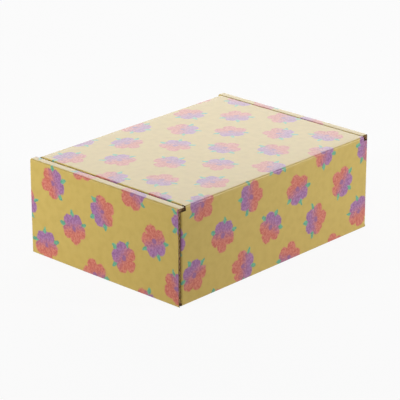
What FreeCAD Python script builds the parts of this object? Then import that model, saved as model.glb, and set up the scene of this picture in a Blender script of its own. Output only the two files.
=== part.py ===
import FreeCAD, Part
import os
import re
import Sketcher

# Corrugated mailer box, folded from one sheet of single wall board and closed.
# X runs from rolled side to rolled side, the lid is creased to the back wall at
# +Y and tucks in behind the front wall at -Y, and the floor stands on Z = 0.
# The sheet is drawn as two bodies that part only at the lid crease.

SIZES = [
    ("outer_length", 300, "over both rolled sides"),
    ("outer_depth", 212, "over the front and back walls"),
    ("outer_height", 106, "table to the top of the lid"),
    ("board_thickness", 3, "single wall board"),
    ("fold_radius", 2.8, "outside of a fold"),
    ("layer_gap", 0.3, "air between layers that lie together"),
    ("roll_width", 10.5, "outer face to inner face of a rolled side"),
    ("roll_drop", 0.8, "top of the roll below the top of the lid"),
    ("front_drop", 1.5, "top edge of the front wall below the top of the lid"),
    ("shoulder_drop", 1.4, "corner flap below the underside of the roll"),
    ("flap_length", 72, "corner flap inside a rolled side"),
    ("flap_taper", 6, "slant at the free end of a corner flap"),
    ("flap_lift", 0.6, "corner flap above the floor panel"),
    ("tab_length", 30, "locking tab of the inner side wall"),
    ("tab_spacing", 104, "between the middles of the two tabs of a side"),
    ("tab_recess", 0.3, "end of a tab above the table"),
    ("lid_side_gap", 0.6, "lid edge to the rolled side"),
    ("lid_front_gap", 0.5, "tuck fold to the front wall"),
    ("crease_gap", 0.3, "opening of the crushed lid crease at its inside"),
    ("tuck_height", 60, "tuck flap, measured down its face"),
    ("tuck_taper", 11, "tuck flap narrows to each side"),
    ("tuck_shoulder", 6, "straight part of the tuck flap below its fold"),
    ("ear_height", 60, "side ear below the top of the lid"),
    ("ear_back_gap", 4, "ear to the back wall at the lid"),
    ("ear_front_gap", 6, "ear to the front wall at the lid"),
    ("ear_taper", 16, "slant of both ends of an ear"),
    ("corner_round", 10, "rounded lower corners of the ears"),
    ("liner_thickness", 0.4, "flat paper on each face of the board"),
    ("medium_thickness", 0.3, "wavy paper between the liners"),
    ("flute_pitch", 6.1, "from one wave of the board to the next"),
    ("flute_foot", 0.9, "half the width of a wave where it is glued to a liner"),
    ("flute_crest", 0.35, "half the flat of a cell across from its liner"),
    ("flute_depth", 2.5, "how far the open cells reach in from a raw edge"),
]

doc = FreeCAD.newDocument("mailer_box")
sheet = doc.addObject("Spreadsheet::Sheet", "Sizes")
for row, (alias, value, note) in enumerate(SIZES, start=1):
    sheet.set(f"A{row}", str(value))
    sheet.set(f"B{row}", note)
    sheet.setAlias(f"A{row}", alias)
doc.recompute()

# Places worked out from the sizes. The closed box is symmetric about X = 0.
HALF_LENGTH = "(outer_length / 2)"
HALF_DEPTH = "(outer_depth / 2)"
SIDE_INSIDE = f"({HALF_LENGTH} - board_thickness)"
WALL_INSIDE = f"({HALF_DEPTH} - board_thickness)"
ROLL_TOP = "(outer_height - roll_drop)"
ROLL_UNDER = f"({ROLL_TOP} - board_thickness)"
ROLL_INSIDE = f"({HALF_LENGTH} - roll_width)"
FLAP_OUTSIDE = f"({SIDE_INSIDE} - layer_gap)"
FLAP_INSIDE = f"({FLAP_OUTSIDE} - board_thickness)"
SHOULDER = f"({ROLL_UNDER} - shoulder_drop)"
INNER_WALL_END = f"({WALL_INSIDE} - layer_gap)"
LID_EDGE = f"({ROLL_INSIDE} - lid_side_gap)"
LID_UNDER = "(outer_height - board_thickness)"
TUCK_FOLD = f"({WALL_INSIDE} - lid_front_gap)"
FRONT_TOP = "(outer_height - front_drop)"

# The tuck flap leans inwards just enough to ride on a circle about the crease,
# so it passes the front wall at every angle of the lid.
LID_REACH = f"({HALF_DEPTH} + {TUCK_FOLD})"
LEAN_SIN = f"(tuck_height / (2 * {LID_REACH}))"
LEAN_COS = f"sqrt(1 - {LEAN_SIN}^2)"


def bound(expression):
    """The same expression with every size read from the sheet."""
    return re.sub(r"[a-z]+(?:_[a-z]+)+", r"Sizes.\g<0>", expression)


def number(expression):
    """What an expression comes to with the present sizes."""
    return float(sheet.evalExpression(bound(expression)))


def hold(sketch, line, kind, expression):
    """Bind one coordinate of a line's start to the sheet."""
    axis = -2 if kind == "DistanceX" else -1
    if expression == "0":
        sketch.addConstraint(Sketcher.Constraint("PointOnObject", line, 1, axis))
        return
    held = Sketcher.Constraint(kind, -1, 1, line, 1, number(expression))
    index = sketch.addConstraint(held)
    sketch.setExpression(f"Constraints[{index}]", bound(expression))


def draw(body, name, plane, loops, lift="0", along="0", lean="0"):
    """A sketch of closed outlines, lifted off an origin plane, each corner bound to the sizes."""
    sketch = body.newObject("Sketcher::SketchObject", name)
    support = next(part for part in body.Origin.OriginFeatures if part.Role == plane)
    sketch.AttachmentSupport = [(support, "")]
    sketch.MapMode = "FlatFace"
    if lean != "0":
        tilted = FreeCAD.Rotation(FreeCAD.Vector(1, 0, 0), 1)
        sketch.AttachmentOffset = FreeCAD.Placement(FreeCAD.Vector(), tilted)
        sketch.setExpression("AttachmentOffset.Rotation.Angle", bound(lean))
    for place, expression in (("Base.z", lift), ("Base.y", along)):
        if expression != "0":
            sketch.setExpression(f"AttachmentOffset.{place}", bound(expression))
    for corners in loops:
        first = sketch.GeometryCount
        count = len(corners)
        places = [FreeCAD.Vector(number(across), number(up), 0) for across, up in corners]
        for index in range(count):
            line = Part.LineSegment(places[index], places[(index + 1) % count])
            sketch.addGeometry(line, False)
        for index, (across, up) in enumerate(corners):
            line = first + index
            after = first + (index + 1) % count
            sketch.addConstraint(Sketcher.Constraint("Coincident", line, 2, after, 1))
            hold(sketch, line, "DistanceX", across)
            hold(sketch, line, "DistanceY", up)
    return sketch


def opposite(expression):
    """The same place on the other side of the middle."""
    return "0" if expression == "0" else f"-1 * {expression}"


def mirrored_loops(corners):
    """An outline and its twin on the other side of the middle."""
    return [corners, [(opposite(across), up) for across, up in corners]]


def box_loop(left, right, low, high):
    """A rectangle between four places."""
    return [(left, low), (right, low), (right, high), (left, high)]


def feature(body, kind, name, sketch, length, symmetric=False, reverse=False):
    """Pad or pocket a sketch by a bound length."""
    made = body.newObject(f"PartDesign::{kind}", name)
    made.Profile = sketch
    made.setExpression("Length", bound(length))
    if symmetric:
        made.SideType = "Symmetric"
    made.Reversed = reverse
    made.Refine = True
    doc.recompute()
    return made


def mirror(body, name, originals, plane):
    """Repeat features on the other side of an origin plane."""
    made = body.newObject("PartDesign::Mirrored", name)
    made.Originals = originals
    support = next(part for part in body.Origin.OriginFeatures if part.Role == plane)
    made.MirrorPlane = (support, [""])
    body.Tip = made
    doc.recompute()
    return made


def edges_at(shape, along, places):
    """Names of the straight edges that run along an axis through given places."""
    axes = [axis for axis in range(3) if axis != along]
    names = []
    for index, edge in enumerate(shape.Edges, start=1):
        ends = [vertex.Point for vertex in edge.Vertexes]
        if len(ends) != 2 or any(abs(ends[0][axis] - ends[1][axis]) > 0.001 for axis in axes):
            continue
        for place in places:
            if all(abs(ends[0][axis] - at) < 0.01 for axis, at in zip(axes, place)):
                names.append(f"Edge{index}")
    return names


def round_edges(body, name, radius, along, places):
    """Round the straight edges at the places given as pairs of expressions."""
    both = [[number(one), number(other)] for one, other in places]
    names = edges_at(body.Shape, along, both)
    base = body.Tip
    made = body.newObject("PartDesign::Fillet", name)
    made.Base = (base, names)
    made.setExpression("Radius", bound(radius))
    doc.recompute()
    return made


def four_ways(one, other):
    """The four places with either sign."""
    return [(a, b) for a in (one, opposite(one)) for b in (other, opposite(other))]


# Tray: floor, front and back walls with corner flaps, and two rolled sides.
tray = doc.addObject("PartDesign::Body", "tray")
tray.Label = "tray"

floor_and_sides = draw(tray, "floor_and_sides", "XZ_Plane", [[
    (opposite(HALF_LENGTH), "0"), (HALF_LENGTH, "0"),
    (HALF_LENGTH, ROLL_TOP), (ROLL_INSIDE, ROLL_TOP),
    (ROLL_INSIDE, ROLL_UNDER), (SIDE_INSIDE, ROLL_UNDER),
    (SIDE_INSIDE, "board_thickness"), (opposite(SIDE_INSIDE), "board_thickness"),
    (opposite(SIDE_INSIDE), ROLL_UNDER), (opposite(ROLL_INSIDE), ROLL_UNDER),
    (opposite(ROLL_INSIDE), ROLL_TOP), (opposite(HALF_LENGTH), ROLL_TOP),
]])
feature(tray, "Pad", "floor_and_sides_pad", floor_and_sides, f"2 * {WALL_INSIDE}", symmetric=True)

side_ends = draw(tray, "side_ends", "XZ_Plane", mirrored_loops([
    (SIDE_INSIDE, "0"), (HALF_LENGTH, "0"), (HALF_LENGTH, ROLL_TOP),
    (ROLL_INSIDE, ROLL_TOP), (ROLL_INSIDE, ROLL_UNDER), (SIDE_INSIDE, ROLL_UNDER),
]))
feature(tray, "Pad", "side_ends_pad", side_ends, "outer_depth", symmetric=True)

# Floor slots that take the locking tabs of the inner side walls.
SLOT_NEAR = f"({ROLL_INSIDE} - layer_gap)"
SLOT_FAR = f"({ROLL_INSIDE} + board_thickness + layer_gap)"
TAB_START = "((tab_spacing - tab_length) / 2)"
TAB_END = "((tab_spacing + tab_length) / 2)"
slot_loops = []
for low, high in ((f"({TAB_START} - layer_gap)", f"({TAB_END} + layer_gap)"),
                  (f"(-1 * {TAB_END} - layer_gap)", f"(-1 * {TAB_START} + layer_gap)")):
    slot_loops += mirrored_loops(box_loop(SLOT_NEAR, SLOT_FAR, low, high))
tab_slots = draw(tray, "tab_slots", "XY_Plane", slot_loops)
feature(tray, "Pocket", "tab_slots_cut", tab_slots, "board_thickness", reverse=True)

# Back wall, rising to the lid crease between the two rolls.
back_wall = draw(tray, "back_wall", "XZ_Plane", [[
    (opposite(FLAP_OUTSIDE), "0"), (FLAP_OUTSIDE, "0"),
    (FLAP_OUTSIDE, SHOULDER), (LID_EDGE, SHOULDER),
    (LID_EDGE, "outer_height"), (opposite(LID_EDGE), "outer_height"),
    (opposite(LID_EDGE), SHOULDER), (opposite(FLAP_OUTSIDE), SHOULDER),
]], lift=opposite(HALF_DEPTH))
feature(tray, "Pad", "back_wall_pad", back_wall, "board_thickness")

front_wall = draw(tray, "front_wall", "XZ_Plane", [[
    (opposite(FLAP_OUTSIDE), "0"), (FLAP_OUTSIDE, "0"),
    (FLAP_OUTSIDE, SHOULDER), (LID_EDGE, SHOULDER),
    (LID_EDGE, FRONT_TOP), (opposite(LID_EDGE), FRONT_TOP),
    (opposite(LID_EDGE), SHOULDER), (opposite(FLAP_OUTSIDE), SHOULDER),
]], lift=WALL_INSIDE)
feature(tray, "Pad", "front_wall_pad", front_wall, "board_thickness")

# The crushed crease leaves the back wall bevelled towards the inside.
crease_bevel = draw(tray, "crease_bevel", "YZ_Plane", [[
    (WALL_INSIDE, f"({LID_UNDER} - crease_gap)"), (HALF_DEPTH, "outer_height"),
    (WALL_INSIDE, "outer_height"),
]])
feature(tray, "Pocket", "crease_bevel_cut", crease_bevel, f"2 * {LID_EDGE}", symmetric=True)

# Corner flaps of both walls, folded into the hollow of the rolled sides.
FLAP_LOW = "(board_thickness + flap_lift)"
FLAP_TIP = f"({WALL_INSIDE} - flap_length)"
corner_flaps = draw(tray, "corner_flaps", "YZ_Plane", mirrored_loops([
    (WALL_INSIDE, FLAP_LOW), (WALL_INSIDE, SHOULDER),
    (f"({FLAP_TIP} + flap_taper)", SHOULDER), (FLAP_TIP, f"({SHOULDER} - 2 * flap_taper)"),
    (FLAP_TIP, f"({FLAP_LOW} + 2 * flap_taper)"), (f"({FLAP_TIP} + flap_taper)", FLAP_LOW),
]), lift=FLAP_INSIDE)
flaps_pad = feature(tray, "Pad", "corner_flaps_pad", corner_flaps, "board_thickness")
mirror(tray, "corner_flaps_mirror", [flaps_pad], "YZ_Plane")

# Inner side walls hang from the roll and lock into the floor with two tabs.
WALL_LOW = "(board_thickness + layer_gap)"
inner_wall = draw(tray, "inner_wall", "YZ_Plane", [[
    (opposite(INNER_WALL_END), WALL_LOW), (opposite(TAB_END), WALL_LOW),
    (opposite(TAB_END), "tab_recess"), (opposite(TAB_START), "tab_recess"),
    (opposite(TAB_START), WALL_LOW), (TAB_START, WALL_LOW),
    (TAB_START, "tab_recess"), (TAB_END, "tab_recess"),
    (TAB_END, WALL_LOW), (INNER_WALL_END, WALL_LOW),
    (INNER_WALL_END, ROLL_TOP), (opposite(INNER_WALL_END), ROLL_TOP),
]], lift=ROLL_INSIDE)
inner_pad = feature(tray, "Pad", "inner_wall_pad", inner_wall, "board_thickness")
mirror(tray, "inner_wall_mirror", [inner_pad], "YZ_Plane")

# Folds are round on the outside.
round_edges(tray, "roll_folds", "fold_radius", 1,
            [(HALF_LENGTH, ROLL_TOP), (opposite(HALF_LENGTH), ROLL_TOP),
             (ROLL_INSIDE, ROLL_TOP), (opposite(ROLL_INSIDE), ROLL_TOP),
             (HALF_LENGTH, "0"), (opposite(HALF_LENGTH), "0")])
round_edges(tray, "wall_folds", "fold_radius", 0,
            [(HALF_DEPTH, "0"), (opposite(HALF_DEPTH), "0")])
round_edges(tray, "corner_folds", "fold_radius", 2, four_ways(FLAP_OUTSIDE, HALF_DEPTH))

# Lid: top panel, tuck flap and two side ears, all creased from the same sheet.
lid = doc.addObject("PartDesign::Body", "lid")
lid.Label = "lid"

FOLD_AT = opposite(TUCK_FOLD)
TUCK_END = f"({FOLD_AT} + tuck_height * {LEAN_SIN})"
TUCK_LOW = f"(outer_height - tuck_height * {LEAN_COS})"
TUCK_END_IN = f"({TUCK_END} + board_thickness * {LEAN_COS})"
TUCK_LOW_IN = f"({TUCK_LOW} + board_thickness * {LEAN_SIN})"
FOLD_RUN = f"(board_thickness * (1 + {LEAN_SIN}) / {LEAN_COS})"
FOLD_INSIDE = f"({FOLD_AT} + board_thickness * {LEAN_COS} + {FOLD_RUN} * {LEAN_SIN})"
lid_section = draw(lid, "lid_section", "YZ_Plane", [[
    (HALF_DEPTH, "outer_height"), (FOLD_AT, "outer_height"),
    (TUCK_END, TUCK_LOW), (TUCK_END_IN, TUCK_LOW_IN),
    (FOLD_INSIDE, LID_UNDER), (f"({WALL_INSIDE} - crease_gap)", LID_UNDER),
]])
feature(lid, "Pad", "lid_section_pad", lid_section, f"2 * {LID_EDGE}", symmetric=True)

# The tuck flap narrows towards its free edge.
TAPER_TOP = f"({LID_UNDER} - tuck_shoulder)"
BELOW_TUCK = f"({TUCK_LOW} - board_thickness)"
tuck_sides = draw(lid, "tuck_sides", "XZ_Plane", mirrored_loops([
    (LID_EDGE, TAPER_TOP), (f"({LID_EDGE} - tuck_taper)", BELOW_TUCK),
    (f"({LID_EDGE} + tuck_taper)", BELOW_TUCK), (f"({LID_EDGE} + tuck_taper)", TAPER_TOP),
]))
feature(lid, "Pocket", "tuck_sides_cut", tuck_sides, "outer_depth", reverse=True)

# Ears hang inside the rolled sides.
EAR_LOW = "(outer_height - ear_height)"
EAR_BACK = f"({WALL_INSIDE} - ear_back_gap)"
EAR_FRONT = f"(-1 * {WALL_INSIDE} + ear_front_gap)"
ear = draw(lid, "ear", "YZ_Plane", [[
    (EAR_FRONT, LID_UNDER), (f"({EAR_FRONT} + ear_taper)", EAR_LOW),
    (f"({EAR_BACK} - ear_taper)", EAR_LOW), (EAR_BACK, LID_UNDER),
]], lift=f"({LID_EDGE} - board_thickness)")
ear_pad = feature(lid, "Pad", "ear_pad", ear, "board_thickness")
mirror(lid, "ear_mirror", [ear_pad], "YZ_Plane")

round_edges(lid, "ear_corners", "corner_round", 0,
            [(f"({EAR_FRONT} + ear_taper)", EAR_LOW), (f"({EAR_BACK} - ear_taper)", EAR_LOW)])
round_edges(lid, "ear_folds", "fold_radius", 1,
            [(LID_EDGE, "outer_height"), (opposite(LID_EDGE), "outer_height")])
round_edges(lid, "tuck_fold", "fold_radius", 0, [(FOLD_AT, "outer_height")])

# Raw edges across the flutes show the board's section: two liners with open,
# staggered cells between them, one each side of the wavy medium.
FLUTE_START = "(fold_radius + liner_thickness)"


def cell_pair(high, low, start, wave_first):
    """Two open cells of one wave, between the high and the low face of the board."""
    loops = []
    for base, sign, shift in ((high, "-", "0"), (low, "+", "flute_pitch / 2")):
        foot = f"({base} {sign} liner_thickness)"
        crest = f"({base} {sign} (board_thickness - liner_thickness - medium_thickness))"
        first = f"({start} + {shift})"
        cell = [(foot, f"({first} + flute_foot)"),
                (foot, f"({first} + flute_pitch - flute_foot)"),
                (crest, f"({first} + flute_pitch / 2 + flute_crest)"),
                (crest, f"({first} + flute_pitch / 2 - flute_crest)")]
        loops.append([(up, across) for across, up in cell] if wave_first else cell)
    return loops


def flute_row(body, name, cut, axis, span, mirrors=()):
    """Repeat a cut pair of cells along an edge, and on the sides that the mirrors give."""
    many = body.newObject("PartDesign::MultiTransform", name)
    many.Originals = [cut]
    row = body.newObject("PartDesign::LinearPattern", f"{name}_pattern")
    support = next(part for part in body.Origin.OriginFeatures if part.Role == axis)
    row.Direction = (support, [""])
    row.Mode = "Spacing"
    row.setExpression("Offset", bound("flute_pitch"))
    row.setExpression("Occurrences", bound(f"floor({span} / flute_pitch - 0.5)"))
    steps = [row]
    for plane in mirrors:
        side = body.newObject("PartDesign::Mirrored", f"{name}_{plane[:2].lower()}")
        support = next(part for part in body.Origin.OriginFeatures if part.Role == plane)
        side.MirrorPlane = (support, [""])
        steps.append(side)
    many.Transformations = steps
    body.Tip = many
    doc.recompute()
    return many


side_cells = draw(tray, "side_cells", "XZ_Plane",
                  cell_pair(HALF_LENGTH, SIDE_INSIDE, FLUTE_START, False), lift=opposite(HALF_DEPTH))
side_cut = feature(tray, "Pocket", "side_cells_cut", side_cells, "flute_depth", reverse=True)
flute_row(tray, "side_flutes", side_cut, "Z_Axis",
          f"({ROLL_TOP} - 2 * {FLUTE_START})", ("YZ_Plane", "XZ_Plane"))

front_cells = draw(tray, "front_cells", "XY_Plane",
                   cell_pair(opposite(WALL_INSIDE), opposite(HALF_DEPTH),
                             f"(liner_thickness - {LID_EDGE})", True), lift=FRONT_TOP)
front_cut = feature(tray, "Pocket", "front_cells_cut", front_cells, "flute_depth")
flute_row(tray, "front_flutes", front_cut, "X_Axis", f"(2 * ({LID_EDGE} - liner_thickness))")

TUCK_HALF = f"({LID_EDGE} - tuck_taper)"
tuck_cells = draw(lid, "tuck_cells", "XY_Plane",
                  cell_pair("board_thickness", "0", f"(liner_thickness - {TUCK_HALF})", True),
                  lift=TUCK_LOW, along=TUCK_END, lean=f"asin({LEAN_SIN})")
tuck_cut = feature(lid, "Pocket", "tuck_cells_cut", tuck_cells, "flute_depth", reverse=True)
flute_row(lid, "tuck_flutes", tuck_cut, "X_Axis", f"(2 * ({TUCK_HALF} - liner_thickness))")

doc.recompute()

failed = [part.Name for part in doc.Objects if {"Invalid", "Error"} & set(part.State)]
for body in (tray, lid):
    if body.Shape.isNull() or not body.Shape.isValid() or len(body.Shape.Solids) != 1:
        failed.append(body.Label)
if failed:
    raise RuntimeError(f"not built: {failed}")

os.makedirs("parts", exist_ok=True)
for body in (tray, lid):
    body.Shape.exportStep(f"parts/{body.Label}.step")
    box = body.Shape.BoundBox
    print(body.Label, round(body.Shape.Volume, 1), box)
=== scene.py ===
import math
import bpy
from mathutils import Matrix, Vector


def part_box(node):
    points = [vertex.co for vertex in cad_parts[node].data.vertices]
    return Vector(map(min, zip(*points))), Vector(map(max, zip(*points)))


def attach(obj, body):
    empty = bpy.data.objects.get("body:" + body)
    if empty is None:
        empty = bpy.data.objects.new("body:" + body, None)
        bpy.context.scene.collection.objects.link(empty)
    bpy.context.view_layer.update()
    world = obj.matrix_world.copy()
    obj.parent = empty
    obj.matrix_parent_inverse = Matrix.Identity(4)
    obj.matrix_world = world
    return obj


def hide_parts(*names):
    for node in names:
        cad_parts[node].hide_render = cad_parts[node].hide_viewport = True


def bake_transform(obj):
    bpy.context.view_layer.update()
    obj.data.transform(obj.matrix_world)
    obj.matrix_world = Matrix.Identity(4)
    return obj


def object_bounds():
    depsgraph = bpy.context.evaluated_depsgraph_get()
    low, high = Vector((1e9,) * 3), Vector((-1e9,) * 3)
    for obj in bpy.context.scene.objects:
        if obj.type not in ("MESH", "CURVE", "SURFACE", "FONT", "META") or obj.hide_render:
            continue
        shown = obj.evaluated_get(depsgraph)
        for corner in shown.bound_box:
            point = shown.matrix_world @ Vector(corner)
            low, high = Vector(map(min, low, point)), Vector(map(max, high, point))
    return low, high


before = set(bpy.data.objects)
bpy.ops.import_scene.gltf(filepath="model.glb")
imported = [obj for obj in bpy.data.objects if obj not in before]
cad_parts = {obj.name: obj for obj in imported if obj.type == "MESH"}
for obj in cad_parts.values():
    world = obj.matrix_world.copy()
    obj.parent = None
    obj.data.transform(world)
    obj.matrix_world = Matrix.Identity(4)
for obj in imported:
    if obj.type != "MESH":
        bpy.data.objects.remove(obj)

cad_box = [list(corner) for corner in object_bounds()]

# Corrugated mailer box. One sheet of board, printed on its outer liner only,
# is laid out panel by panel round its folds. Sizes are millimetres until a
# mesh is made. The blank's own flat coordinates carry print and flutes, so
# both run over every fold as they do on a printed sheet.

MM = 0.001
HALF_LENGTH, HALF_DEPTH, HEIGHT = [value / MM for value in cad_box[1]]
LID_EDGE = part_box("lid")[1][0] / MM

# Board, its waves, and the outer radius of its folds.
BOARD = 3.0
LINER = 0.4
MEDIUM = 0.3
FLUTE_PITCH = 6.1
FLUTE_DEPTH = 4.5
CORE_SETBACK = 0.6
FOLD = 2.0
CORNER_FOLD = 2.8
LID_SIDE_FOLD = 1.3
ROOM = 0.3

# Tray: rolled sides, corner flaps, inner side walls with their tabs, front wall.
# The photograph shows a raw board end at the near back corner and none at the
# far one, so the far outer side wall stops short of the back face.
ROLL_TOP = HEIGHT - 0.45
ROLL_INSIDE = HALF_LENGTH - 10.5
SHOULDER = HEIGHT - BOARD - 2.2
FLAP_OUTSIDE = HALF_LENGTH - BOARD - 1.0
FLAP_LOW = BOARD + 2 * ROOM
FLAP_LENGTH = 72.0
FLAP_TAPER = 6.0
FLAP_SLOPE = 2.0
STRIP_END = FLAP_OUTSIDE - 1.0
WALL_INSIDE = HALF_DEPTH - BOARD
INNER_WALL_END = WALL_INSIDE - ROOM
WALL_LOW = BOARD + ROOM
FAR_END_SHORT = 4.5
TAB_START = 37.0
TAB_END = 67.0
TAB_LOW = 0.3
FRONT_TOP = HEIGHT - 2.8

# Crease between back wall and lid, with the thin web that joins its two halves.
CREASE_ZONE = HEIGHT - SHOULDER
WEB_HALF = 0.15
WEB_DEPTH = 0.12

# Lid: tuck flap and ears.
TUCK_FOLD = WALL_INSIDE - 0.5
TUCK_HEIGHT = 60.0
TUCK_TAPER = 11.0
TUCK_SHOULDER = 6.0
TUCK_SLIT = 0.8
TUCK_ROUND = 3.0
EAR_HEIGHT = 60.0
EAR_BACK = WALL_INSIDE - 4.0
EAR_FRONT = -WALL_INSIDE + 6.0
EAR_TAPER = 16.0
EAR_ROUND = 10.0

# How finely a shape is divided, and how near two lengths are to count as one.
GRID = 6.0
LEAST_COLUMN = 0.5
FOLD_STEPS = 12
TUCK_STEPS = 4
EAR_STEPS = 8
WAVE_STEPS = 12.0
EDGE_INSET = 0.5
LEAD_IN = 1.0
SHARP_FROM = 35.0
NEAR = 0.01
TOUCH = 0.001

# How much and how slowly the faces of the board swell, and ripple at the crease.
SWELL = 0.10
SWELL_ACROSS = 31.0
SWELL_ALONG = 27.0
SWELL_UP = 23.0
RIPPLE = 0.22
RIPPLE_SHORT = 5.3
RIPPLE_LONG = 13.7
RIPPLE_REACH = 7.0

# Places of the board's materials on its mesh.
PRINT, KRAFT, SHADED_CUT = 0, 1, 2


def settle(place):
    """How far the printed face sinks in at a place, because board is never quite flat."""
    across, along, up = place
    slow = math.sin(across / SWELL_ACROSS + 0.7) * math.sin(along / SWELL_ALONG + 1.9)
    swell = SWELL * (1 + slow * math.cos(up / SWELL_UP))
    to_crease = math.hypot(along - HALF_DEPTH, up - HEIGHT)
    ripple = 1 + math.sin(across / RIPPLE_SHORT) * math.sin(across / RIPPLE_LONG + 1.1)
    return swell + RIPPLE * ripple * math.exp(-(to_crease / RIPPLE_REACH) ** 2)


class Layout:
    """Gathers panels into one mesh, with their blank coordinates and raw edges."""

    def __init__(self, name):
        self.name = name
        self.points = []
        self.faces = []
        self.flats = []
        self.slots = []
        self.edges = []

    def face(self, corners, flats, slot, turned):
        """Add a face; on a mirrored panel it is turned round, so that it points outwards."""
        if turned:
            corners = corners[::-1]
            flats = flats[::-1]
        self.faces.append(corners)
        self.flats.append(flats)
        self.slots.append(slot)


def track(corners, inside, start=0.0, radius=FOLD, step=9.0):
    """Stations along a folded line: place, inward direction, length along the blank and fold."""
    sign = 1 if inside == "left" else -1
    legs = []
    for one, other in zip(corners, corners[1:]):
        run = Vector(other) - Vector(one)
        legs.append((Vector(one), run.normalized(), run.length))
    stations = []
    length = start
    behind = 0.0
    last_fold = None
    for index, (base, ahead, run) in enumerate(legs):
        inward = Vector((-ahead.y, ahead.x)) * sign
        turn = 0.0
        fold = None
        if index + 1 < len(legs):
            turn = ahead.angle(legs[index + 1][1])
        before = radius * math.tan(turn / 2)
        if turn:
            centre = base + ahead * (run - before) + inward * radius
            next_ahead = legs[index + 1][1]
            next_inward = Vector((-next_ahead.y, next_ahead.x)) * sign
            middle = (inward + next_inward).normalized()
            fold = (centre, middle / math.cos(turn / 2), radius)
        count = max(1, round((run - behind - before) / step))
        for number in range(count + 1):
            gone = (run - behind - before) * number / count
            own = last_fold if number == 0 else fold if number == count else None
            stations.append((base + ahead * (behind + gone), inward, length + gone, own))
        length += run - behind - before
        if turn:
            for number in range(1, FOLD_STEPS):
                angle = turn * number / FOLD_STEPS
                out = -inward
                spun = Vector((out.x * math.cos(angle) - sign * out.y * math.sin(angle),
                               out.y * math.cos(angle) + sign * out.x * math.sin(angle)))
                stations.append((centre + spun * radius, -spun, length + radius * angle, fold))
            length += radius * turn
        behind = before
        last_fold = fold
    return stations


def under(station, depth):
    """The place at a depth under the printed face; inside a tight fold the plies meet in a corner."""
    at, inward, length, fold = station
    if fold and depth > fold[2]:
        return fold[0] + fold[1] * (depth - fold[2])
    return at + inward * depth


def station_at(stations, length):
    """The exact station at a length along the blank."""
    for one, other in zip(stations, stations[1:]):
        if one[2] - TOUCH <= length <= other[2] + TOUCH and other[2] > one[2]:
            share = (length - one[2]) / (other[2] - one[2])
            if share < NEAR:
                return one
            if share > 1 - NEAR:
                return other
            place = one[0].lerp(other[0], share)
            inward = one[1].lerp(other[1], share).normalized()
            fold = one[3] if one[3] is other[3] else None
            return place, inward, length, fold
    return stations[-1]


def part_of(stations, low, high):
    """The stations between two lengths, with an exact station at each end."""
    inner = [station for station in stations if low + NEAR < station[2] < high - NEAR]
    return [station_at(stations, low)] + inner + [station_at(stations, high)]


def spread(low, high, marks=()):
    """Shares from 0 to 1 across a panel: columns on one grid for all panels, and at each mark."""
    grid = [number * GRID for number in range(math.ceil(low / GRID), math.floor(high / GRID) + 1)]
    fixed = (low, high, *marks)
    inner = [place for place in grid if all(abs(place - mark) > LEAST_COLUMN for mark in fixed)]
    return [(place - low) / (high - low) for place in sorted([*fixed, *inner])]


def layer(layout, rows, reach, columns, place, blank, turned, outer, inner, slots, missing):
    """One closed ply of a panel, between two depths under the printed face.

    Rows are stations along the blank, and columns are shares of the reach across
    it. Place gives a point in the box, blank its flat coordinates, and missing
    says where nothing is laid. Slots are for face, back, sides and ends.
    """
    base = len(layout.points)
    width = len(columns)
    grid = []
    for station in rows:
        low, high = reach(station[2])
        for share in columns:
            across = low + (high - low) * share
            sink = settle(place(station[0].x, station[0].y, across))
            grid.append((across, station[2]))
            for depth in (outer, inner):
                spot = under(station, depth + sink)
                layout.points.append(Vector(place(spot.x, spot.y, across)))

    def corner(row, column, side):
        return base + 2 * (row * width + column) + side

    def flat(row, column):
        across, length = grid[row * width + column]
        return blank(length, across)

    def gone(row, column):
        if not (0 <= row < len(rows) - 1 and 0 <= column < width - 1):
            return True
        across = (grid[row * width + column][0] + grid[row * width + column + 1][0]) / 2
        return missing(across, (rows[row][2] + rows[row + 1][2]) / 2)

    face_slot, back_slot, side_slot, end_slot = slots
    for row in range(len(rows) - 1):
        for column in range(width - 1):
            if gone(row, column):
                continue
            ring = [(row, column), (row + 1, column), (row + 1, column + 1), (row, column + 1)]
            flats = [flat(*spot) for spot in ring]
            layout.face([corner(*spot, 0) for spot in ring], flats, face_slot, turned)
            layout.face([corner(*spot, 1) for spot in ring][::-1], flats[::-1], back_slot, turned)
            for index, (beside_row, beside_column) in enumerate(((0, -1), (1, 0), (0, 1), (-1, 0))):
                if not gone(row + beside_row, column + beside_column):
                    continue
                one, other = ring[index], ring[(index + 1) % 4]
                ends = [flat(*one), flat(*other)]
                quad = [corner(*other, 0), corner(*one, 0), corner(*one, 1), corner(*other, 1)]
                edge_slot = end_slot if beside_row else side_slot
                layout.face(quad, [ends[1], ends[0], ends[0], ends[1]], edge_slot, turned)


def nothing(across, length):
    """A panel without holes misses nothing."""
    return False


def panel(layout, rows, reach, place, blank, turned=False, columns=None, missing=nothing,
          raw_sides=CORE_SETBACK, raw_start=0.0, raw_end=0.0, end_slot=SHADED_CUT):
    """A panel of board: printed liner, inner liner and a core set back from its raw edges."""
    if columns is None:
        low, high = reach(rows[0][2])
        columns = spread(low, high)
    layer(layout, rows, reach, columns, place, blank, turned,
          0, LINER, (PRINT, KRAFT, SHADED_CUT, end_slot), missing)
    layer(layout, rows, reach, columns, place, blank, turned,
          BOARD - LINER, BOARD, (KRAFT, KRAFT, SHADED_CUT, end_slot), missing)
    core = part_of(rows, rows[0][2] + raw_start, rows[-1][2] - raw_end)

    def inset(length):
        low, high = reach(length)
        return low + raw_sides, high - raw_sides
    # The core and all raw sides take the dark cut material, as painted shade of the hollow flutes
    # behind the waves.
    layer(layout, core, inset, columns, place, blank, turned,
          LINER, BOARD - LINER, (SHADED_CUT, SHADED_CUT, SHADED_CUT, end_slot), missing)


def raw_edge(layout, spots, inward):
    """A line of places at mid board where the flutes are cut across, for the waves to follow."""
    layout.edges.append((spots, Vector(inward)))


def even(low, high):
    """The same reach at every row."""
    return lambda length: (low, high)


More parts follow.
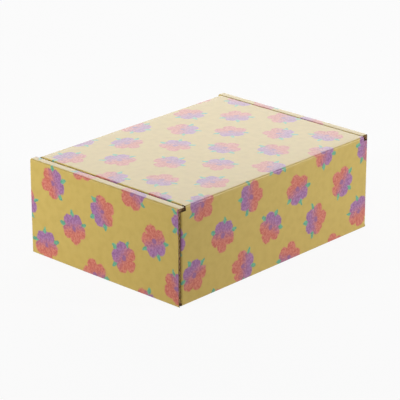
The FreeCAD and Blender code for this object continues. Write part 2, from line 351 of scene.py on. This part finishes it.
def rounded_corner(low, high, left, radius):
    """A panel's reach where so much of it is left before its end, which has round corners."""
    near = max(0.0, radius - left)
    cut = radius - math.sqrt(max(0.0, radius ** 2 - near ** 2))
    return low + cut, high - cut


# The long way round: front wall, floor, back wall, crease, lid and tuck flap,
# drawn in the plane across the box and as wide as each panel is.
LID_REACH = HALF_DEPTH + TUCK_FOLD
LEAN = math.asin(TUCK_HEIGHT / (2 * LID_REACH))
tuck_end = (-TUCK_FOLD + TUCK_HEIGHT * math.sin(LEAN), HEIGHT - TUCK_HEIGHT * math.cos(LEAN))
round_trip = track([(-HALF_DEPTH, FRONT_TOP), (-HALF_DEPTH, 0), (HALF_DEPTH, 0),
                    (HALF_DEPTH, HEIGHT), (-TUCK_FOLD, HEIGHT), tuck_end], "left")
FOLD_SAVING = FOLD * (2 - math.pi / 2)
FLOOR_START = FRONT_TOP - FOLD_SAVING
FLOOR_MIDDLE = FLOOR_START + HALF_DEPTH
BACK_START = FLOOR_START + 2 * HALF_DEPTH - FOLD_SAVING
LID_START = BACK_START + HEIGHT - FOLD_SAVING
LID_MIDDLE = LID_START + HALF_DEPTH
CREASE_MIDDLE = BACK_START + HEIGHT - FOLD + FOLD * math.pi / 4


def across_box(one, other, across):
    """A place in the box from one in the plane across it."""
    return (across, one, other)


def trip_blank(length, across):
    """Flat coordinates on the blank, from the middle of the floor."""
    return (across, length - FLOOR_MIDDLE)


def wall_length(up):
    """Length along the back wall's stretch of the trip at a height."""
    return BACK_START + up


def slotted_floor(across, length):
    """The floor's slots for the tabs of the inner side walls."""
    along = abs(length - FLOOR_MIDDLE)
    return (TAB_START - ROOM < along < TAB_END + ROOM
            and ROLL_INSIDE - ROOM < abs(across) < ROLL_INSIDE + BOARD + ROOM)


def lay_tray_trip(tray):
    """Front wall, floor and back wall up to the middle of the crease."""
    flap_turn = FLAP_OUTSIDE - CORNER_FOLD
    fold_end = HALF_LENGTH - FOLD
    front_low = FRONT_TOP - FLAP_LOW
    front_shoulder = FRONT_TOP - SHOULDER
    panel(tray, part_of(round_trip, 0, front_shoulder), even(-LID_EDGE, LID_EDGE),
          across_box, trip_blank, raw_start=FLUTE_DEPTH)
    panel(tray, part_of(round_trip, front_shoulder, front_low), even(-flap_turn, flap_turn),
          across_box, trip_blank)
    slot_marks = [side * (ROLL_INSIDE + gap) for side in (-1, 1) for gap in (-ROOM, BOARD + ROOM)]
    flat_start, flat_end = FLOOR_START + FOLD, FLOOR_START + 2 * HALF_DEPTH - FOLD
    for low, high in ((front_low, flat_start), (flat_end, wall_length(FLAP_LOW))):
        panel(tray, part_of(round_trip, low, high), even(-STRIP_END, STRIP_END), across_box, trip_blank)
    rows = part_of(round_trip, flat_start, flat_end)
    for edge in (TAB_START - ROOM, TAB_END + ROOM):
        for side in (-1, 1):
            length = FLOOR_MIDDLE + side * edge
            beyond = next(row for row in rows if row[2] > length)
            rows.insert(rows.index(beyond), station_at(round_trip, length))
    panel(tray, rows, even(-fold_end, fold_end), across_box, trip_blank, missing=slotted_floor,
          columns=spread(-fold_end, fold_end, marks=slot_marks))
    panel(tray, part_of(round_trip, wall_length(FLAP_LOW), wall_length(SHOULDER)),
          even(-flap_turn, flap_turn), across_box, trip_blank)
    panel(tray, part_of(round_trip, wall_length(SHOULDER), CREASE_MIDDLE), even(-LID_EDGE, LID_EDGE),
          across_box, trip_blank, end_slot=KRAFT)
    half = LID_EDGE - EDGE_INSET
    mid_board = -HALF_DEPTH + BOARD / 2
    spots = [((across, mid_board, FRONT_TOP), (0, 1, 0)) for across in (-half, half)]
    raw_edge(tray, spots, (0, 0, -1))


def lay_corner_flaps(tray):
    """The ends of the front and back wall, turned into the hollow of the rolled sides."""
    tip = WALL_INSIDE - FLAP_LENGTH
    turn_from = FLAP_OUTSIDE - CORNER_FOLD
    line = track([(turn_from, HALF_DEPTH), (FLAP_OUTSIDE, HALF_DEPTH), (FLAP_OUTSIDE, tip)],
                 "right", start=turn_from, radius=CORNER_FOLD)
    line = [station for station in line if station[2] >= turn_from]
    end = line[-1][2]
    taper_from = end - FLAP_TAPER
    rows = part_of(line, line[0][2], taper_from)[:-1] + part_of(line, taper_from, end)

    def reach(length):
        cut = max(0.0, length - taper_from) * FLAP_SLOPE
        return FLAP_LOW + cut, SHOULDER - cut
    for side in (-1, 1):
        for face in (-1, 1):
            def place(one, other, up):
                return (side * one, face * other, up)

            def blank(length, up):
                up_trip = HALF_DEPTH - FOLD_SAVING + up
                return (side * length, face * up_trip)
            panel(tray, rows, reach, place, blank, turned=side * face < 0)


def lay_rolled_sides(tray):
    """Outer side wall, roll and inner side wall with its tabs, on both sides."""
    start = HALF_LENGTH - FOLD
    line = track([(start - LEAD_IN, 0), (HALF_LENGTH, 0), (HALF_LENGTH, ROLL_TOP),
                  (ROLL_INSIDE, ROLL_TOP), (ROLL_INSIDE, TAB_LOW)], "left", start=start - LEAD_IN)
    tabs_end = line[-1][2]
    wall_from = tabs_end - (ROLL_TOP - FOLD - TAB_LOW)
    tabs_from = tabs_end - (WALL_LOW - TAB_LOW)
    outer = part_of(line, start, wall_from)
    inner = part_of(line, wall_from, tabs_from)[:-1] + part_of(line, tabs_from, tabs_end)
    marks = [side * edge for side in (-1, 1) for edge in (TAB_START, TAB_END)]
    inner_columns = spread(-INNER_WALL_END, INNER_WALL_END, marks=marks)

    def no_tab(across, length):
        return length > tabs_from and not TAB_START < abs(across) < TAB_END
    for side in (-1, 1):
        def place(one, other, along):
            return (side * one, along, other)

        def blank(length, along):
            return (side * length, along)
        back_end = HALF_DEPTH if side > 0 else HALF_DEPTH - FAR_END_SHORT
        panel(tray, outer, even(-HALF_DEPTH, back_end), place, blank, turned=side > 0,
              raw_sides=FLUTE_DEPTH)
        panel(tray, inner, even(-INNER_WALL_END, INNER_WALL_END), place, blank, turned=side > 0,
              missing=no_tab, columns=inner_columns)
        for wall_end, into in ((-HALF_DEPTH, 1), (back_end, -1)):
            spots = []
            for at, inward, _, _ in outer:
                middle = at + inward * (BOARD / 2)
                spots.append((place(middle.x, middle.y, wall_end), place(inward.x, inward.y, 0)))
            raw_edge(tray, spots, (0, into, 0))


def lay_lid(lid):
    """Top panel with its side folds, ears and tuck flap."""
    tuck_fold = FOLD * math.tan((math.pi / 2 - LEAN) / 2)
    top_start = LID_START + CREASE_ZONE
    top_end = LID_START + LID_REACH - tuck_fold
    flat_edge = LID_EDGE - LID_SIDE_FOLD
    panel(lid, part_of(round_trip, CREASE_MIDDLE, top_start), even(-LID_EDGE, LID_EDGE),
          across_box, trip_blank, end_slot=KRAFT)
    panel(lid, part_of(round_trip, top_start, top_end), even(-flat_edge, flat_edge),
          across_box, trip_blank)

    trip_end = round_trip[-1][2]
    taper = TUCK_HEIGHT - BOARD - TUCK_SHOULDER

    def tuck_reach(length):
        left = trip_end - length
        half = LID_EDGE - TUCK_SLIT - max(0.0, taper - left) * TUCK_TAPER / taper
        return rounded_corner(-half, half, left, TUCK_ROUND)
    rows = part_of(round_trip, top_end, trip_end - TUCK_ROUND)[:-1]
    rows += [station_at(round_trip, trip_end - TUCK_ROUND * step / TUCK_STEPS)
             for step in range(TUCK_STEPS, -1, -1)]
    panel(lid, rows, tuck_reach, across_box, trip_blank, raw_end=FLUTE_DEPTH)
    at, inward, _, _ = round_trip[-1]
    middle = at + inward * (BOARD / 2)
    half = LID_EDGE - TUCK_SLIT - TUCK_TAPER - TUCK_ROUND
    spots = [((across, middle.x, middle.y), (0, inward.x, inward.y)) for across in (-half, half)]
    raw_edge(lid, spots, (0, -math.sin(LEAN), math.cos(LEAN)))

    line = track([(flat_edge - LEAD_IN, HEIGHT), (LID_EDGE, HEIGHT), (LID_EDGE, HEIGHT - EAR_HEIGHT)],
                 "right", start=flat_edge - LEAD_IN, radius=LID_SIDE_FOLD)
    ear_end = line[-1][2]
    ear_flat = EAR_HEIGHT - LID_SIDE_FOLD
    fold_end = ear_end - ear_flat
    front = -TUCK_FOLD + tuck_fold
    back = HALF_DEPTH - CREASE_ZONE

    def ear_reach(length):
        left = ear_end - length
        cut = EAR_TAPER * (1 - left / ear_flat)
        return rounded_corner(EAR_FRONT + cut, EAR_BACK - cut, left, EAR_ROUND)
    ear_rows = part_of(line, fold_end, ear_end - EAR_ROUND)[:-1]
    ear_rows += [station_at(line, ear_end - EAR_ROUND * math.cos(step * math.pi / 2 / EAR_STEPS))
                 for step in range(EAR_STEPS)]
    ear_rows.append(line[-1])
    for side in (-1, 1):
        def place(one, other, along):
            return (side * one, along, other)

        def blank(length, along):
            return (side * length, LID_MIDDLE - FLOOR_MIDDLE - along)
        panel(lid, part_of(line, flat_edge, fold_end), even(front, back), place, blank,
              turned=side < 0)
        panel(lid, ear_rows, ear_reach, place, blank, turned=side < 0)


def lay_crease(crease):
    """The paper web under the print of the crease, which joins wall and lid."""
    rows = [station_at(round_trip, CREASE_MIDDLE + side * WEB_HALF) for side in (-1, 1)]
    edge = LID_EDGE - EDGE_INSET
    layer(crease, rows, even(-edge, edge), spread(-edge, edge), across_box, trip_blank, False,
          WEB_DEPTH, LINER + 0.05, (KRAFT, KRAFT, KRAFT, KRAFT), nothing)


def linear(code):
    """An sRGB hex colour as linear red, green, blue and alpha."""
    values = [int(code[index:index + 2], 16) / 255 for index in (1, 3, 5)]
    return [v / 12.92 if v <= 0.04045 else ((v + 0.055) / 1.055) ** 2.4 for v in values] + [1.0]


def add(tree, kind, given=(), out=0, **settings):
    """Add a node with its settings; what is given to its inputs is a value or a socket."""
    node = tree.nodes.new(kind)
    for name, value in settings.items():
        setattr(node, name, value)
    for name, value in given.items() if isinstance(given, dict) else enumerate(given):
        if isinstance(value, bpy.types.NodeSocket):
            tree.links.new(value, node.inputs[name])
        else:
            node.inputs[name].default_value = value
    return node.outputs[out] if node.outputs else None


def new_material(name):
    """A material with only its Principled shader."""
    material = bpy.data.materials.new(name)
    material.use_nodes = True
    tree = material.node_tree
    return material, tree, tree.nodes["Principled BSDF"]


def every(size):
    """The scale of a pattern whose marks are this many mm across."""
    return 1 / (size * MM)


def washboard(tree, uv):
    """The liner shows the waves under it: it stands proud of each crest by a hair."""
    across = add(tree, "ShaderNodeSeparateXYZ", (uv,))
    turn = add(tree, "ShaderNodeMath", (across, 2 * math.pi / (FLUTE_PITCH * MM)), operation="MULTIPLY")
    return add(tree, "ShaderNodeMath", (turn,), operation="COSINE")


# White-top liner, litho printed and varnished: thin watercolour inks on pulp
# that is a little uneven, under a satin coat that mirrors a bright wall milkily
# when it is seen at a flat angle. Real fibres are far too thin to show, so its
# flecks are drawn 2.4 mm across. The sizes are mm on the blank.
BLOOM_SPACING = 52.0
BLOOM_TURN = 0.62
PETAL_DIP = 11.6
PETAL_LOBE = 6.2
LEAF_START = 11.0
LEAF_LENGTH = 10.0
HEART = 3.4
EDGE_WAVER = 5.0
WAVER_SIZE = 4.762
INK_FLECK = 2.381
INK_CLOUD = 8.333
PRINT_RELIEF = 0.03
GROUND_INK = "#C2A74C"
GROUND_DEEP = "#BBA045"
CORAL_INK = "#B9533F"
ROSE_INK = "#CB7660"
VIOLET_INK = "#9C6FA8"
PLUM_INK = "#7E5089"
MINT_INK = "#66AB84"
FERN_INK = "#4A9072"


def printed_liner():
    """Ground colour with plain five-petal blooms, each turned its own way on a slanted grid."""
    material, tree, shader = new_material("printed_liner")
    uv = add(tree, "ShaderNodeUVMap", uv_map="blank")
    fibre = add(tree, "ShaderNodeTexNoise", {"Vector": uv, "Scale": every(INK_FLECK), "Detail": 3.0})
    cloud = add(tree, "ShaderNodeTexNoise", {"Vector": uv, "Scale": every(INK_CLOUD), "Detail": 2.0})
    drift = add(tree, "ShaderNodeTexNoise", {"Vector": uv, "Scale": every(WAVER_SIZE), "Detail": 3.0},
                1)

    # Each cell of the slanted grid is one bloom, measured in mm from its middle;
    # a slow drift makes its edges waver as brushed ink does.
    repeat = every(BLOOM_SPACING)
    grid = add(tree, "ShaderNodeMapping", {"Vector": uv, "Rotation": (0, 0, BLOOM_TURN),
                                           "Scale": (repeat, repeat, 1)})
    cell = add(tree, "ShaderNodeVectorMath", (grid,), operation="FLOOR")
    chance = add(tree, "ShaderNodeTexWhiteNoise", (cell,))
    spot = add(tree, "ShaderNodeVectorMath", (grid,), operation="FRACTION")
    spot = add(tree, "ShaderNodeVectorMath", (spot, (0.5, 0.5, 0)), operation="SUBTRACT")
    spot = add(tree, "ShaderNodeVectorMath", {0: spot, "Scale": BLOOM_SPACING}, operation="SCALE")
    drift = add(tree, "ShaderNodeVectorMath", (drift, (0.5, 0.5, 0.5)), operation="SUBTRACT")
    spot = add(tree, "ShaderNodeVectorMath", (drift, (EDGE_WAVER, EDGE_WAVER, 0), spot),
               operation="MULTIPLY_ADD")
    turned = add(tree, "ShaderNodeMath", (chance, 2 * math.pi), operation="MULTIPLY")
    spot = add(tree, "ShaderNodeVectorRotate", {"Vector": spot, "Angle": turned},
               rotation_type="Z_AXIS")
    far = add(tree, "ShaderNodeVectorMath", (spot,), 1, operation="LENGTH")
    side = add(tree, "ShaderNodeSeparateXYZ", (spot,))
    up = add(tree, "ShaderNodeSeparateXYZ", (spot,), 1)
    angle = add(tree, "ShaderNodeMath", (up, side), operation="ARCTAN2")

    # Petals and leaves: how far out their edge lies at each angle, in mm.
    lobe = add(tree, "ShaderNodeMath", (angle, 2.5), operation="MULTIPLY")
    petal = add(tree, "ShaderNodeMath", (lobe,), operation="COSINE")
    petal = add(tree, "ShaderNodeMath", (petal,), operation="ABSOLUTE")
    petal = add(tree, "ShaderNodeMath", (petal, 0.55), operation="POWER")
    petal = add(tree, "ShaderNodeMath", (petal, PETAL_LOBE, PETAL_DIP), operation="MULTIPLY_ADD")
    leaf = add(tree, "ShaderNodeMath", (lobe,), operation="SINE")
    leaf = add(tree, "ShaderNodeMath", (leaf, 8.0), operation="POWER")
    behind = add(tree, "ShaderNodeMapRange", (side, 2.0, -5.0), interpolation_type="SMOOTHSTEP")
    leaf = add(tree, "ShaderNodeMath", (leaf, behind), operation="MULTIPLY")
    leaf = add(tree, "ShaderNodeMath", (leaf, LEAF_LENGTH, LEAF_START), operation="MULTIPLY_ADD")
    share = add(tree, "ShaderNodeMath", (far, petal), operation="DIVIDE")
    in_petal = add(tree, "ShaderNodeMapRange", (share, 1.04, 0.93), interpolation_type="SMOOTHSTEP")
    leaf = add(tree, "ShaderNodeMath", (far, leaf), operation="DIVIDE")
    in_leaf = add(tree, "ShaderNodeMapRange", (leaf, 1.02, 0.95), interpolation_type="SMOOTHSTEP")

    # Brush streaks run outwards from the middle of each bloom, and its ink goes
    # from coral on one side to violet on the other, with a dark heart.
    streak = add(tree, "ShaderNodeMath", (far, 0.16), operation="MULTIPLY")
    fan = add(tree, "ShaderNodeMath", (angle, 4.0), operation="MULTIPLY")
    streak = add(tree, "ShaderNodeCombineXYZ", (fan, streak, chance))
    streak = add(tree, "ShaderNodeTexNoise", {"Vector": streak, "Scale": 1.6, "Detail": 4.0})
    mottle = add(tree, "ShaderNodeMath", (fibre, streak), operation="ADD")
    mottle = add(tree, "ShaderNodeMapRange", (mottle, 0.8, 1.2), interpolation_type="SMOOTHSTEP")
    coral = add(tree, "ShaderNodeMix", {0: mottle, 6: linear(CORAL_INK), 7: linear(ROSE_INK)}, 2,
                data_type="RGBA")
    violet = add(tree, "ShaderNodeMix", {0: mottle, 6: linear(PLUM_INK), 7: linear(VIOLET_INK)}, 2,
                 data_type="RGBA")
    shaded = add(tree, "ShaderNodeMath", (streak, 14.0, side), operation="MULTIPLY_ADD")
    shaded = add(tree, "ShaderNodeMapRange", (shaded, 13.0, -3.0, 0.0, 0.88),
                 interpolation_type="SMOOTHSTEP")
    bloom = add(tree, "ShaderNodeMix", {0: shaded, 6: coral, 7: violet}, 2, data_type="RGBA")
    heart = add(tree, "ShaderNodeMapRange", (far, HEART, HEART - 1.2, 0.0, 0.8),
                interpolation_type="SMOOTHSTEP")
    bloom = add(tree, "ShaderNodeMix", {0: heart, 6: bloom, 7: linear(PLUM_INK)}, 2, data_type="RGBA")
    green = add(tree, "ShaderNodeMix", {0: mottle, 6: linear(FERN_INK), 7: linear(MINT_INK)}, 2,
                data_type="RGBA")
    thick = add(tree, "ShaderNodeMapRange", (cloud, 0.3, 0.8), interpolation_type="SMOOTHSTEP")
    colour = add(tree, "ShaderNodeMix", {0: thick, 6: linear(GROUND_INK), 7: linear(GROUND_DEEP)}, 2,
                 data_type="RGBA")

    # Ground first, then leaves, then petals on top.
    colour = add(tree, "ShaderNodeMix", {0: in_leaf, 6: colour, 7: green}, 2, data_type="RGBA")
    colour = add(tree, "ShaderNodeMix", {0: in_petal, 6: colour, 7: bloom}, 2, data_type="RGBA")

    relief = add(tree, "ShaderNodeMath", (washboard(tree, uv), 0.7, fibre), operation="MULTIPLY_ADD")
    bump = add(tree, "ShaderNodeBump",
               {"Strength": 0.35, "Distance": PRINT_RELIEF * MM, "Height": relief})
    tree.links.new(colour, shader.inputs["Base Color"])
    tree.links.new(bump, shader.inputs["Normal"])
    shader.inputs["Roughness"].default_value = 0.42
    shader.inputs["Specular IOR Level"].default_value = 0.35
    shader.inputs["Coat Weight"].default_value = 0.45
    shader.inputs["Coat Roughness"].default_value = 0.26
    shader.inputs["Coat IOR"].default_value = 1.5
    return material


# Kraft liner, pressed from unbleached pulp and left unprinted: matt brown paper
# with darker flecks and cloudy patches, and the waves showing through. Its
# flecks are drawn 1.7 mm across, coarser than real ones, so that they show.
KRAFT_FLECK = 1.667
KRAFT_PATCH = 22.22
KRAFT_RELIEF = 0.08
KRAFT_PALE = "#A88259"
KRAFT_BROWN = "#8C673F"
KRAFT_DEEP = "#7C5A38"


def kraft_liner():
    """The unprinted inner liner."""
    material, tree, shader = new_material("kraft_liner")
    uv = add(tree, "ShaderNodeUVMap", uv_map="blank")
    fibre = add(tree, "ShaderNodeTexNoise", {"Vector": uv, "Scale": every(KRAFT_FLECK), "Detail": 5.0})
    patch = add(tree, "ShaderNodeTexNoise", {"Vector": uv, "Scale": every(KRAFT_PATCH), "Detail": 2.0})
    flecks = add(tree, "ShaderNodeMapRange", (fibre, 0.35, 0.7), interpolation_type="SMOOTHSTEP")
    colour = add(tree, "ShaderNodeMix", {0: flecks, 6: linear(KRAFT_PALE), 7: linear(KRAFT_BROWN)}, 2,
                 data_type="RGBA")
    worn = add(tree, "ShaderNodeMapRange", (patch, 0.4, 0.7, 0.0, 0.3), interpolation_type="SMOOTHSTEP")
    colour = add(tree, "ShaderNodeMix", {0: worn, 6: colour, 7: linear(KRAFT_DEEP)}, 2,
                 data_type="RGBA")
    relief = add(tree, "ShaderNodeMath", (washboard(tree, uv), 0.8, fibre), operation="MULTIPLY_ADD")
    bump = add(tree, "ShaderNodeBump",
               {"Strength": 0.5, "Distance": KRAFT_RELIEF * MM, "Height": relief})
    tree.links.new(colour, shader.inputs["Base Color"])
    tree.links.new(bump, shader.inputs["Normal"])
    shader.inputs["Roughness"].default_value = 0.86
    return material


# Recycled paper inside the board, seen only where a knife went through it. The liners' cut edges and
# the solid core set back behind the waves are coloured dark brown. This is partly the paper's own brown
# and partly painted shade, standing in for the shade deep in the hollow flutes and in the gap at a raw
# edge. The wave's cut end is left paler, near the paper's own tan. Its flecks, too, are drawn coarser
# than real ones.
PAPER_FLECK = 1.111
PAPER_RELIEF = 0.1
CUT_SHADE_DARK = "#4E3820"
CUT_SHADE_PALE = "#6E5030"
WAVE_DARK = "#A98358"
WAVE_PALE = "#DDBE90"


def brown_paper(name, dark, pale):
    """Recycled brown paper, quite matt, with short fibres."""
    material, tree, shader = new_material(name)
    spot = add(tree, "ShaderNodeTexCoord", out=3)
    fibre = add(tree, "ShaderNodeTexNoise",
                {"Vector": spot, "Scale": every(PAPER_FLECK), "Detail": 4.0})
    colour = add(tree, "ShaderNodeMix", {0: fibre, 6: linear(dark), 7: linear(pale)}, 2,
                 data_type="RGBA")
    bump = add(tree, "ShaderNodeBump",
               {"Strength": 0.4, "Distance": PAPER_RELIEF * MM, "Height": fibre})
    tree.links.new(colour, shader.inputs["Base Color"])
    tree.links.new(bump, shader.inputs["Normal"])
    shader.inputs["Roughness"].default_value = 0.92
    return material


def wave_tree(material):
    """Node group: turns each raw edge line into the wavy paper between the liners."""
    tree = bpy.data.node_groups.new("flute_waves", "GeometryNodeTree")
    face = tree.interface
    face.new_socket("Geometry", in_out="INPUT", socket_type="NodeSocketGeometry")
    for name in ("Pitch", "Rise", "Depth"):
        face.new_socket(name, in_out="INPUT", socket_type="NodeSocketFloat")
    face.new_socket("Geometry", in_out="OUTPUT", socket_type="NodeSocketGeometry")
    given = tree.nodes.new("NodeGroupInput").outputs
    line = add(tree, "GeometryNodeMeshToCurve", {"Mesh": given["Geometry"]})
    step = add(tree, "ShaderNodeMath", (given["Pitch"], WAVE_STEPS), operation="DIVIDE")
    line = add(tree, "GeometryNodeResampleCurve", {"Curve": line, "Length": step}, mode="LENGTH")
    gone = tree.nodes.new("GeometryNodeSplineParameter").outputs["Length"]
    turn = add(tree, "ShaderNodeMath", (gone, given["Pitch"]), operation="DIVIDE")
    turn = add(tree, "ShaderNodeMath", (turn, 2 * math.pi), operation="MULTIPLY")
    wave = add(tree, "ShaderNodeMath", (turn,), operation="COSINE")
    height = add(tree, "ShaderNodeMath", (wave, given["Rise"]), operation="MULTIPLY")
    across = add(tree, "GeometryNodeInputNamedAttribute", {"Name": "across"}, data_type="FLOAT_VECTOR")
    inward = add(tree, "GeometryNodeInputNamedAttribute", {"Name": "inward"}, data_type="FLOAT_VECTOR")
    shift = add(tree, "ShaderNodeVectorMath", {"Vector": across, "Scale": height}, operation="SCALE")
    line = add(tree, "GeometryNodeSetPosition", {"Geometry": line, "Offset": shift})
    edge = add(tree, "GeometryNodeCurveToMesh", {"Curve": line})
    wall = add(tree, "GeometryNodeExtrudeMesh", {"Mesh": edge, "Offset": inward,
                                                 "Offset Scale": given["Depth"]}, mode="EDGES")
    whole = add(tree, "GeometryNodeRealizeInstances", {"Geometry": wall})
    whole = add(tree, "GeometryNodeSetMaterial", {"Geometry": whole, "Material": material})
    add(tree, "NodeGroupOutput", {"Geometry": whole})
    return tree


def flutes(layout, tree):
    """The waves of every raw edge of a layout, as one plain mesh."""
    points, lines, across, inward = [], [], [], []
    for spots, into in layout.edges:
        for index, (place, normal) in enumerate(spots):
            if index:
                lines.append((len(points) - 1, len(points)))
            points.append([value * MM for value in place])
            across.append(normal)
            inward.append(into)
    mesh = bpy.data.meshes.new(f"{layout.name}_lines")
    mesh.from_pydata(points, lines, [])
    for name, values in (("across", across), ("inward", inward)):
        store = mesh.attributes.new(name, "FLOAT_VECTOR", "POINT")
        for index, value in enumerate(values):
            store.data[index].vector = value
    guide = bpy.data.objects.new(f"{layout.name}_lines", mesh)
    bpy.context.collection.objects.link(guide)
    # The waves touch both liners and end a hair before the solid core.
    rise = (BOARD / 2 - LINER - MEDIUM / 2) * MM
    depth = (FLUTE_DEPTH - 0.1) * MM
    sizes = {"Pitch": FLUTE_PITCH * MM, "Rise": rise, "Depth": depth}
    modifier = guide.modifiers.new("waves", "NODES")
    modifier.node_group = tree
    for item in tree.interface.items_tree:
        if item.in_out == "INPUT" and item.name in sizes:
            modifier[item.identifier] = sizes[item.name]
    paper = guide.modifiers.new("paper", "SOLIDIFY")
    paper.thickness = MEDIUM * MM
    paper.offset = 0.0
    ready = guide.evaluated_get(bpy.context.evaluated_depsgraph_get())
    made = bpy.data.meshes.new_from_object(ready)
    bpy.data.objects.remove(guide)
    piece = bpy.data.objects.new(f"{layout.name}_flutes", made)
    bpy.context.collection.objects.link(piece)
    return piece


def board_piece(layout, materials):
    """The gathered panels as one mesh, smooth over its folds."""
    mesh = bpy.data.meshes.new(layout.name)
    mesh.from_pydata([point * MM for point in layout.points], [], layout.faces)
    for material in materials:
        mesh.materials.append(material)
    blank = mesh.uv_layers.new(name="blank")
    for polygon, flats, slot in zip(mesh.polygons, layout.flats, layout.slots):
        polygon.material_index = slot
        for loop, flat in zip(polygon.loop_indices, flats):
            blank.data[loop].uv = (flat[0] * MM, flat[1] * MM)
    mesh.shade_smooth()
    mesh.set_sharp_from_angle(angle=math.radians(SHARP_FROM))
    piece = bpy.data.objects.new(layout.name, mesh)
    bpy.context.collection.objects.link(piece)
    return piece


# Studio, in metres, degrees and watts.
CAMERA_AZIMUTH = 132.95
CAMERA_ELEVATION = 21.18
CAMERA_DISTANCE = 2.231
CAMERA_LEFT = 0.0033
CAMERA_DOWN = 0.0076
LENS = 188.6
FLOOR_REACH = 6.0
FLOOR_WHITE = 0.92
ROOM_LIGHT = 0.34


def softbox(name, place, aim, width, height, power, spread=180):
    """A large soft lamp, turned to a point; a grid on it narrows its spread."""
    light = bpy.data.lights.new(name, "AREA")
    light.shape = "RECTANGLE"
    light.size = width
    light.size_y = height
    light.energy = power
    light.spread = math.radians(spread)
    lamp = bpy.data.objects.new(name, light)
    lamp.location = place
    lamp.rotation_euler = (Vector(aim) - Vector(place)).to_track_quat("-Z", "Y").to_euler()
    bpy.context.collection.objects.link(lamp)


def seen_directly(tree):
    """1 for what the camera, mirrors and glass see, 0 for light that falls on the object."""
    path = tree.nodes.new("ShaderNodeLightPath").outputs
    seen = add(tree, "ShaderNodeMath", (path["Is Camera Ray"], path["Is Glossy Ray"]),
               operation="MAXIMUM")
    return add(tree, "ShaderNodeMath", (seen, path["Is Transmission Ray"]), operation="MAXIMUM")


def studio_floor():
    """A plain pale table top that keeps a soft shadow."""
    mesh = bpy.data.meshes.new("studio_floor")
    reach = FLOOR_REACH
    mesh.from_pydata([(-reach, -reach, 0), (reach, -reach, 0), (reach, reach, 0), (-reach, reach, 0)],
                     [], [(0, 1, 2, 3)])
    material = bpy.data.materials.new("studio_floor")
    material.use_nodes = True
    tree = material.node_tree
    tree.nodes.clear()
    paper = add(tree, "ShaderNodeBsdfDiffuse", ((0.86, 0.86, 0.86, 1),))
    white = add(tree, "ShaderNodeEmission", ((1, 1, 1, 1), 1.0))
    share = add(tree, "ShaderNodeMath", (seen_directly(tree), FLOOR_WHITE), operation="MULTIPLY")
    mixed = add(tree, "ShaderNodeMixShader", (share, paper, white))
    add(tree, "ShaderNodeOutputMaterial", (mixed,))
    mesh.materials.append(material)
    floor = bpy.data.objects.new("studio_floor", mesh)
    bpy.context.collection.objects.link(floor)


def studio_world(level):
    """Even light from all round, white where the camera sees it."""
    world = bpy.data.worlds.new("studio")
    world.use_nodes = True
    tree = world.node_tree
    tree.nodes.clear()
    soft = add(tree, "ShaderNodeBackground", ((1, 1, 1, 1), level))
    white = add(tree, "ShaderNodeBackground", ((1, 1, 1, 1), 1.0))
    mixed = add(tree, "ShaderNodeMixShader", (seen_directly(tree), soft, white))
    add(tree, "ShaderNodeOutputWorld", (mixed,))
    bpy.context.scene.world = world


def photo_camera():
    """A long lens at the photograph's angle; its numbers were found from the box's seven corners."""
    azimuth, elevation = math.radians(CAMERA_AZIMUTH), math.radians(CAMERA_ELEVATION)
    back = Vector((math.sin(azimuth) * math.cos(elevation),
                   -math.cos(azimuth) * math.cos(elevation), math.sin(elevation)))
    right = Vector((math.cos(azimuth), math.sin(azimuth), 0))
    up = back.cross(right)
    lens = bpy.data.cameras.new("photo_camera")
    lens.sensor_width = 36
    lens.lens = LENS
    lens.clip_end = 50
    camera = bpy.data.objects.new("photo_camera", lens)
    middle = Vector((0, 0, HEIGHT / 2 * MM))
    camera.location = middle + back * CAMERA_DISTANCE - right * CAMERA_LEFT - up * CAMERA_DOWN
    camera.rotation_euler = back.to_track_quat("Z", "Y").to_euler()
    bpy.context.collection.objects.link(camera)
    bpy.context.scene.camera = camera


bpy.context.scene.view_settings.view_transform = "Standard"
photo_camera()
studio_world(ROOM_LIGHT)
studio_floor()
softbox("left_softbox", place=(2.4, -1.1, 0.55), aim=(0.15, -0.26, 0.20),
        width=0.7, height=0.7, power=1.7, spread=24)
softbox("right_softbox", place=(-1.8, 2.3, 0.55), aim=(-0.27, 0.1, 0.15),
        width=0.7, height=0.7, power=1.6, spread=24)
softbox("back_softbox", place=(-2.0, -1.85, 1.15), aim=(0, 0, 0.1),
        width=3.2, height=1.7, power=34)

# The cut edge material is dark brown, partly the paper's own colour and partly painted shade of the
# flute hollows.
board_materials = [printed_liner(), kraft_liner(), brown_paper("cut_edge_painted_shade", CUT_SHADE_DARK, CUT_SHADE_PALE)]
waves = wave_tree(brown_paper("flute_medium", WAVE_DARK, WAVE_PALE))

tray = Layout("tray_board")
lay_tray_trip(tray)
lay_corner_flaps(tray)
lay_rolled_sides(tray)
tray_board = board_piece(tray, board_materials)
tray_flutes = flutes(tray, waves)

lid = Layout("lid_board")
lay_lid(lid)
lid_board = board_piece(lid, board_materials)
lid_flutes = flutes(lid, waves)

crease = Layout("lid_crease")
lay_crease(crease)
crease_web = board_piece(crease, board_materials)

for piece in (tray_board, tray_flutes):
    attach(piece, "tray")
for piece in (lid_board, lid_flutes):
    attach(piece, "lid")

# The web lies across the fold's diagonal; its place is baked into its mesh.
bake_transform(crease_web)
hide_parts("tray")
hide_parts("lid")
